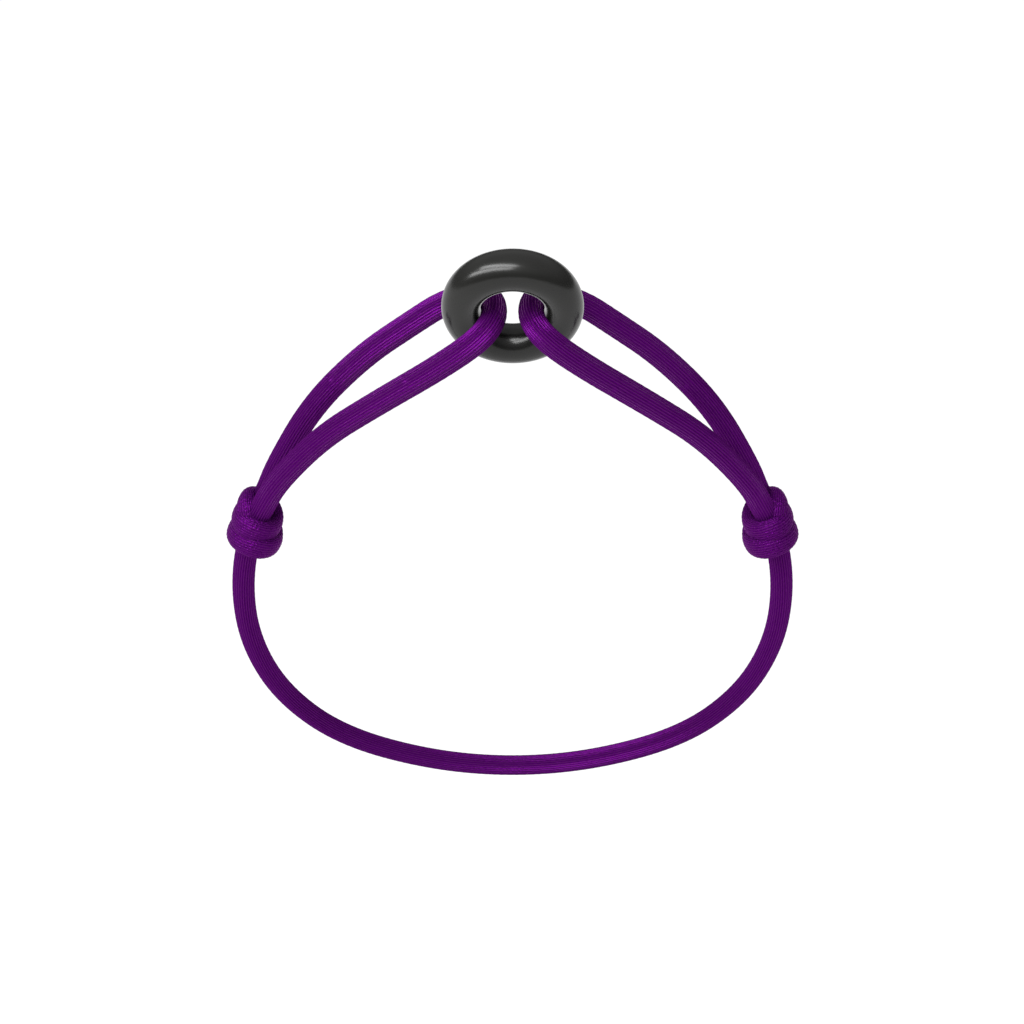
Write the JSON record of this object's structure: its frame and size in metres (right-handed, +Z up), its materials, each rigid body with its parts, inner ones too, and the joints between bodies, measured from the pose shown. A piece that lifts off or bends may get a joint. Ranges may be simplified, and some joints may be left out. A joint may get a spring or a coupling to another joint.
{
  "type": "adjustable cord bracelet",
  "caption": "Braided satin cord bracelet that closes with sliding knots and carries a polished ring held in two bights of the cord.",
  "frame": {"origin": "centre of the wrist opening, in the plane of the strand", "axes": "+Z up to the ring, +Y through the wrist opening, +X across it"},
  "size_m": [0.0646, 0.0095, 0.0739],
  "materials": {
    "ring": "polished, near black",
    "cord": "satin braid, deep purple",
    "knot": "satin braid pulled tight, deep purple"
  },
  "bodies": {
    "strand": {"lower_strand": "cord", "left_back_leg": "cord", "right_back_leg": "cord", "left_front_leg": "cord", "right_front_leg": "cord"},
    "left_slider": {"left_knot": "knot", "left_tied_end": "knot"},
    "right_slider": {"right_knot": "knot", "right_tied_end": "knot"},
    "bights": {"left_bight": "cord", "right_bight": "cord"},
    "ring": {"ring": "ring"}
  },
  "joints": [
    {"name": "left_knot_slide", "type": "hinge", "parent": "strand", "child": "left_slider", "pos_m": [0.003, 0, -0.0035], "axis": [0, -1, 0], "range_deg": [0, 30], "deforming": ["left_front_leg"]},
    {"name": "right_knot_slide", "type": "hinge", "parent": "strand", "child": "right_slider", "pos_m": [-0.003, 0, -0.0035], "axis": [0, 1, 0], "range_deg": [0, 30], "deforming": ["right_front_leg"]},
    {"name": "ring_tilt", "type": "hinge", "parent": "strand", "child": "bights", "pos_m": [0, -0.0013, 0.03629], "axis": [1, 0, 0], "range_deg": [-20, 20], "deforming": ["left_bight", "right_bight"]},
    {"name": "ring_spin", "type": "hinge", "parent": "bights", "child": "ring", "pos_m": [0, -0.0013, 0.03629], "axis": [0, -0.9489, -0.3156], "continuous": true}
  ]
}
